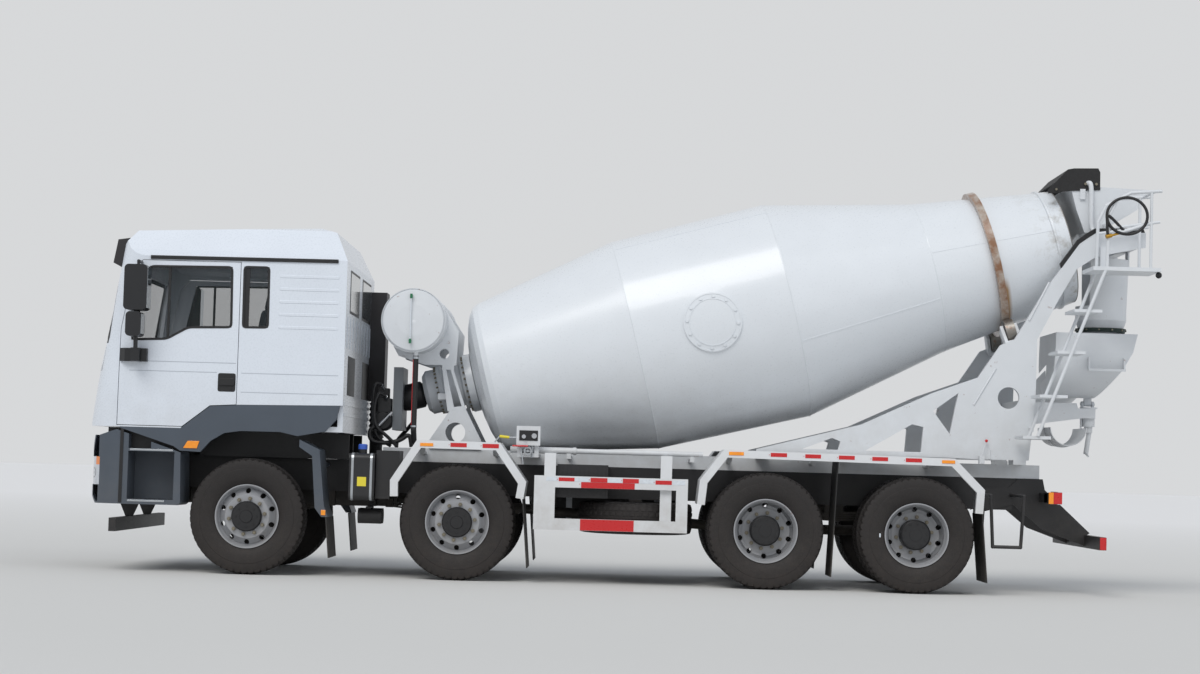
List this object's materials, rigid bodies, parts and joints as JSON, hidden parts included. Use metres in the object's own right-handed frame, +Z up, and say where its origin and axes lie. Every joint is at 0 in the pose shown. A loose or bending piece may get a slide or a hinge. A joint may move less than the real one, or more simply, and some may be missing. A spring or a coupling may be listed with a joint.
{
  "type": "concrete mixer truck",
  "caption": "Four-axle concrete mixer truck with tilting cab, turning drum on rollers, charging hopper, swinging and tipping chute, opening doors and steered front axles.",
  "frame": {"origin": "middle of the truck's length and width on the ground", "axes": "+X towards the rear, +Y to the truck's right, +Z up"},
  "size_m": [9.99, 3, 4.105],
  "materials": {
    "cab_white": "gloss",
    "mixer_white": "satin",
    "drum_white": "gloss",
    "guard_white": "satin",
    "chassis_black": "satin",
    "axle_iron": "matte",
    "engine_iron": "matte",
    "trim_dark": "matte",
    "mirror_black": "matte",
    "box_black": "matte",
    "tank_metal": "satin",
    "lamp": "gloss",
    "glass": "gloss",
    "interior": "matte",
    "seat_fabric": "matte",
    "rubber": "matte",
    "tyre": "matte",
    "rim_silver": "satin",
    "roller_steel": "satin"
  },
  "bodies": {
    "chassis": {"chassis_frame": "chassis_black", "bumper": "trim_dark", "wheel_quarters": "trim_dark", "lamps": "lamp", "engine": "engine_iron", "axles": "axle_iron", "bogie": "axle_iron", "mudguards": "guard_white", "rubber_flaps": "rubber", "tanks": "tank_metal", "battery_box": "box_black", "spare_wheel": "tyre", "side_guards": "guard_white", "rear_bumper": "chassis_black", "subframe": "mixer_white", "water_tank": "mixer_white", "drum_drive": "mixer_white", "hoses": "rubber", "rear_frame": "mixer_white", "hoppers": "mixer_white", "ladder": "mixer_white", "control_box": "mixer_white"},
    "cab": {"cab_shell": "cab_white", "cab_trim": "trim_dark", "cab_glass": "glass", "dashboard": "interior", "seats": "seat_fabric"},
    "left_door": {"door_left": "cab_white", "door_glass_left": "glass", "mirror_left": "mirror_black"},
    "right_door": {"door_right": "cab_white", "door_glass_right": "glass", "mirror_right": "mirror_black"},
    "drum_body": {"drum": "drum_white"},
    "left_roller": {"roller_left": "roller_steel"},
    "right_roller": {"roller_right": "roller_steel"},
    "chute_arm": {"chute_swivel": "mixer_white"},
    "chute_trough": {"chute": "mixer_white"},
    "steering_1_left": {"knuckle_1_left": "axle_iron"},
    "wheel_1_left": {"tyre_1_left": "tyre", "rim_1_left": "rim_silver"},
    "steering_1_right": {"knuckle_1_right": "axle_iron"},
    "wheel_1_right": {"tyre_1_right": "tyre", "rim_1_right": "rim_silver"},
    "steering_2_left": {"knuckle_2_left": "axle_iron"},
    "wheel_2_left": {"tyre_2_left": "tyre", "rim_2_left": "rim_silver"},
    "steering_2_right": {"knuckle_2_right": "axle_iron"},
    "wheel_2_right": {"tyre_2_right": "tyre", "rim_2_right": "rim_silver"},
    "wheels_3_left": {"tyres_3_left": "tyre", "rims_3_left": "rim_silver"},
    "wheels_3_right": {"tyres_3_right": "tyre", "rims_3_right": "rim_silver"},
    "wheels_4_left": {"tyres_4_left": "tyre", "rims_4_left": "rim_silver"},
    "wheels_4_right": {"tyres_4_right": "tyre", "rims_4_right": "rim_silver"}
  },
  "joints": [
    {"name": "steer_1_left", "type": "hinge", "parent": "chassis", "child": "steering_1_left", "pos_m": [-3.505, -0.918, 0.542], "axis": [0, 0, 1], "range_deg": [-32, 32]},
    {"name": "spin_1_left", "type": "hinge", "parent": "steering_1_left", "child": "wheel_1_left", "pos_m": [-3.505, -1.018, 0.542], "axis": [0, 1, 0], "continuous": true},
    {"name": "steer_1_right", "type": "hinge", "parent": "chassis", "child": "steering_1_right", "pos_m": [-3.505, 0.918, 0.542], "axis": [0, 0, 1], "range_deg": [-32, 32]},
    {"name": "spin_1_right", "type": "hinge", "parent": "steering_1_right", "child": "wheel_1_right", "pos_m": [-3.505, 1.018, 0.542], "axis": [0, 1, 0], "continuous": true},
    {"name": "steer_2_left", "type": "hinge", "parent": "chassis", "child": "steering_2_left", "pos_m": [-1.545, -0.918, 0.542], "axis": [0, 0, 1], "range_deg": [-20.7, 20.7]},
    {"name": "spin_2_left", "type": "hinge", "parent": "steering_2_left", "child": "wheel_2_left", "pos_m": [-1.545, -1.018, 0.542], "axis": [0, 1, 0], "continuous": true},
    {"name": "steer_2_right", "type": "hinge", "parent": "chassis", "child": "steering_2_right", "pos_m": [-1.545, 0.918, 0.542], "axis": [0, 0, 1], "range_deg": [-20.7, 20.7]},
    {"name": "spin_2_right", "type": "hinge", "parent": "steering_2_right", "child": "wheel_2_right", "pos_m": [-1.545, 1.018, 0.542], "axis": [0, 1, 0], "continuous": true},
    {"name": "spin_3_left", "type": "hinge", "parent": "chassis", "child": "wheels_3_left", "pos_m": [1.325, -0.915, 0.542], "axis": [0, 1, 0], "continuous": true},
    {"name": "spin_3_right", "type": "hinge", "parent": "chassis", "child": "wheels_3_right", "pos_m": [1.325, 0.915, 0.542], "axis": [0, 1, 0], "continuous": true},
    {"name": "spin_4_left", "type": "hinge", "parent": "chassis", "child": "wheels_4_left", "pos_m": [2.725, -0.915, 0.542], "axis": [0, 1, 0], "continuous": true},
    {"name": "spin_4_right", "type": "hinge", "parent": "chassis", "child": "wheels_4_right", "pos_m": [2.725, 0.915, 0.542], "axis": [0, 1, 0], "continuous": true},
    {"name": "cab_tilt", "type": "hinge", "parent": "chassis", "child": "cab", "pos_m": [-4.885, 0, 1], "axis": [0, -1, 0], "range_deg": [0, 50]},
    {"name": "door_left_hinge", "type": "hinge", "parent": "cab", "child": "left_door", "pos_m": [-4.734, -1.24, 2.1], "axis": [0, 0, -1], "range_deg": [0, 70]},
    {"name": "door_right_hinge", "type": "hinge", "parent": "cab", "child": "right_door", "pos_m": [-4.734, 1.24, 2.1], "axis": [0, 0, 1], "range_deg": [0, 70]},
    {"name": "drum_turn", "type": "hinge", "parent": "chassis", "child": "drum_body", "pos_m": [-1.549, 0, 1.873], "axis": [0.9677, 0, 0.2521], "continuous": true},
    {"name": "roller_left_turn", "type": "hinge", "parent": "chassis", "child": "left_roller", "pos_m": [3.67673, -0.46147, 2.49988], "axis": [0.9677, 0, 0.2521], "continuous": true},
    {"name": "roller_right_turn", "type": "hinge", "parent": "chassis", "child": "right_roller", "pos_m": [3.67673, 0.46147, 2.49988], "axis": [0.9677, 0, 0.2521], "continuous": true},
    {"name": "chute_swing", "type": "hinge", "parent": "chassis", "child": "chute_arm", "pos_m": [4.545, 0, 1.846], "axis": [0, 0, -1], "range_deg": [-10, 170]},
    {"name": "chute_tip", "type": "hinge", "parent": "chute_arm", "child": "chute_trough", "pos_m": [4.545, 0.06, 1.845], "axis": [-1, 0, 0], "range_deg": [-10, 12]}
  ],
  "couplings": [
    {"joint": "steer_1_right", "follows": "steer_1_left", "ratio": 1},
    {"joint": "steer_2_left", "follows": "steer_1_left", "ratio": 0.646},
    {"joint": "steer_2_right", "follows": "steer_1_left", "ratio": 0.646},
    {"joint": "roller_left_turn", "follows": "drum_turn", "ratio": -5.776},
    {"joint": "roller_right_turn", "follows": "drum_turn", "ratio": -5.776}
  ]
}
